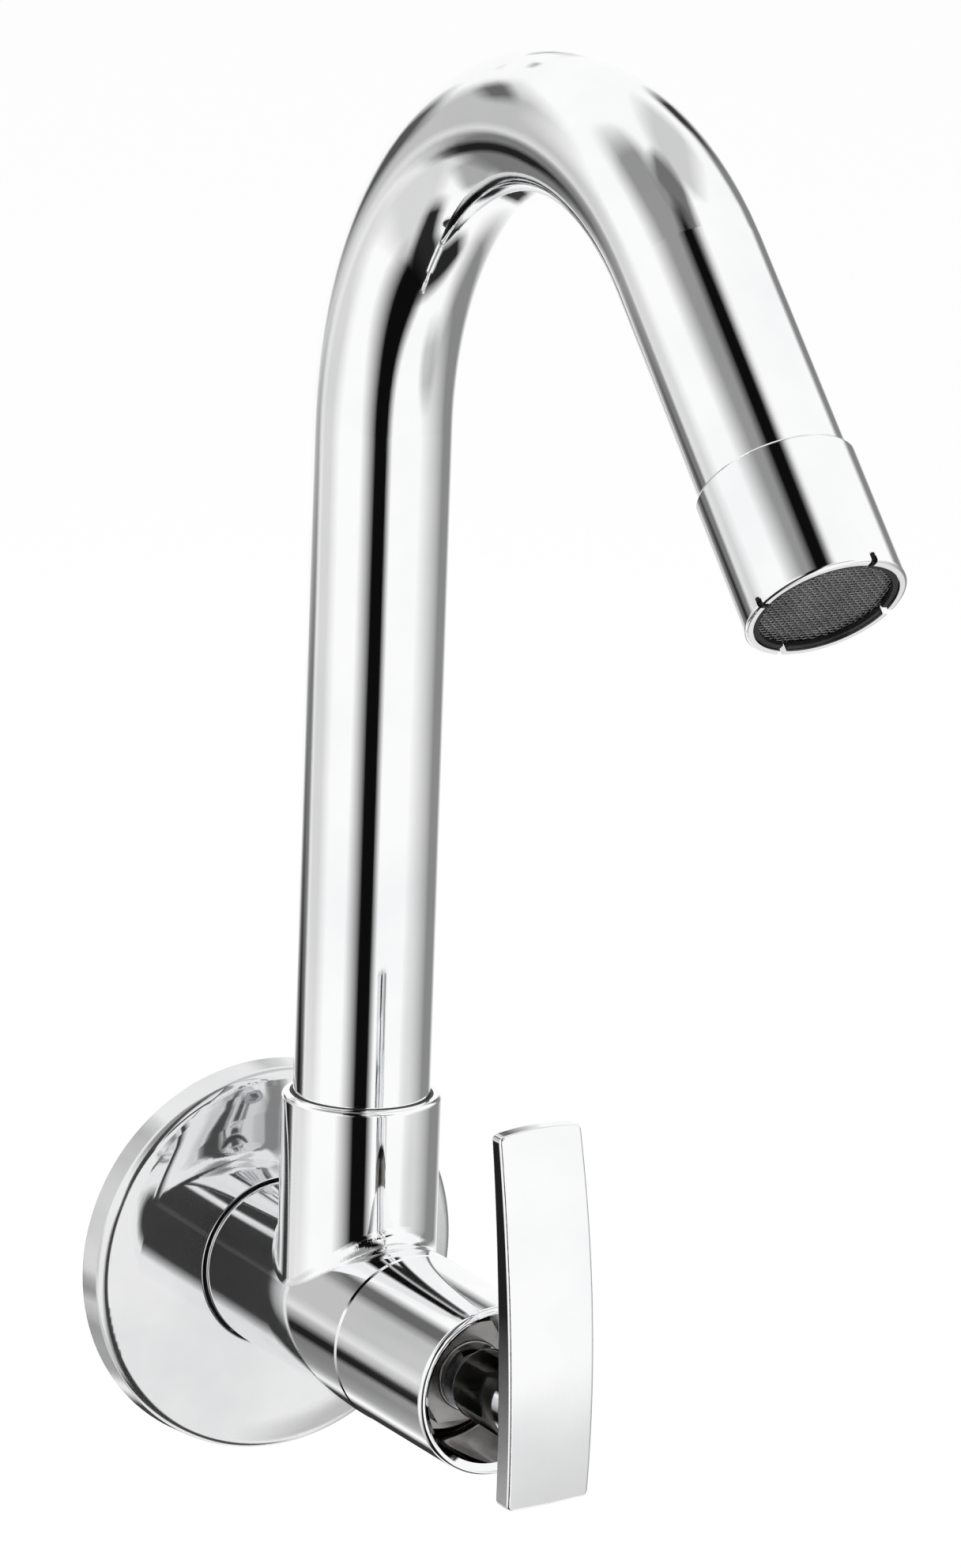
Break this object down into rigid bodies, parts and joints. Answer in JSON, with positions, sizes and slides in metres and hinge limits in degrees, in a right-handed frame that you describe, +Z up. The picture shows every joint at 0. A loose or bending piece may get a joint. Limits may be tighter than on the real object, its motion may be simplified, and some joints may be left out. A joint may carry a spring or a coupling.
{
  "type": "wall-mounted kitchen tap",
  "caption": "Wall-mounted single-lever kitchen tap with a round flange, a tall swivelling bent spout with an aerator, and a thin blade handle on a ceramic-disc valve.",
  "frame": {"origin": "on the inlet tail's axis, in the plane of the wall that the flange's back rim rests on", "axes": "+Y into the wall along the inlet tail, +Z up along the spout's stem, +X across"},
  "size_m": [0.072, 0.2016, 0.2611],
  "materials": {
    "valve_body": "bright chrome plate over cast brass",
    "wall_flange": "bright chrome plate over pressed sheet",
    "flange_grip_ring": "soft black rubber",
    "bonnet_sleeve": "bright chrome plate over turned brass",
    "headwork_body": "turned brass with a dull nickel plate",
    "headwork_gasket": "red fibre",
    "seat_seal": "moulded black rubber",
    "fixed_disc": "lapped alumina",
    "spout_glide_ring": "black acetal",
    "spout_retaining_screw": "stainless, machined",
    "spout_tube": "bright chrome plate over bent brass tube",
    "spout_ferrule": "turned, bright",
    "spout_o_rings": "greased black rubber",
    "outlet_sleeve": "bright chrome plate over turned brass",
    "aerator_washer": "flat black rubber",
    "aerator_shell": "near-black acetal",
    "aerator_core": "off-white acetal",
    "aerator_screens": "woven stainless wire, dark with use",
    "moving_disc": "lapped alumina",
    "spindle": "turned, bright",
    "spindle_o_rings": "greased black rubber",
    "spindle_thrust_washer": "white slippery plastic",
    "spindle_circlip": "spring steel, oiled",
    "handle_lever": "bright chrome plate over cast zinc",
    "handle_grub_screw": "stainless, machined"
  },
  "bodies": {
    "tap_body": {"valve_body": "valve_body", "wall_flange": "wall_flange", "flange_grip_ring": "flange_grip_ring", "bonnet_sleeve": "bonnet_sleeve", "headwork_body": "headwork_body", "headwork_gasket": "headwork_gasket", "seat_seal": "seat_seal", "fixed_disc": "fixed_disc", "spout_glide_ring": "spout_glide_ring", "spout_retaining_screw": "spout_retaining_screw"},
    "spout": {"spout_tube": "spout_tube", "spout_ferrule": "spout_ferrule", "spout_o_rings": "spout_o_rings", "outlet_sleeve": "outlet_sleeve", "aerator_washer": "aerator_washer", "aerator_shell": "aerator_shell", "aerator_core": "aerator_core", "aerator_screens": "aerator_screens"},
    "handle": {"moving_disc": "moving_disc", "spindle": "spindle", "spindle_o_rings": "spindle_o_rings", "spindle_thrust_washer": "spindle_thrust_washer", "spindle_circlip": "spindle_circlip", "handle_lever": "handle_lever", "handle_grub_screw": "handle_grub_screw"}
  },
  "joints": [
    {"name": "spout_swivel", "type": "hinge", "parent": "tap_body", "child": "spout", "pos_m": [0, -0.0359, 0], "axis": [0, 0, 1], "range_deg": [-95, 95]},
    {"name": "handle_turn", "type": "hinge", "parent": "tap_body", "child": "handle", "pos_m": [0, 0, 0], "axis": [0, -1, 0], "range_deg": [0, 90]}
  ]
}
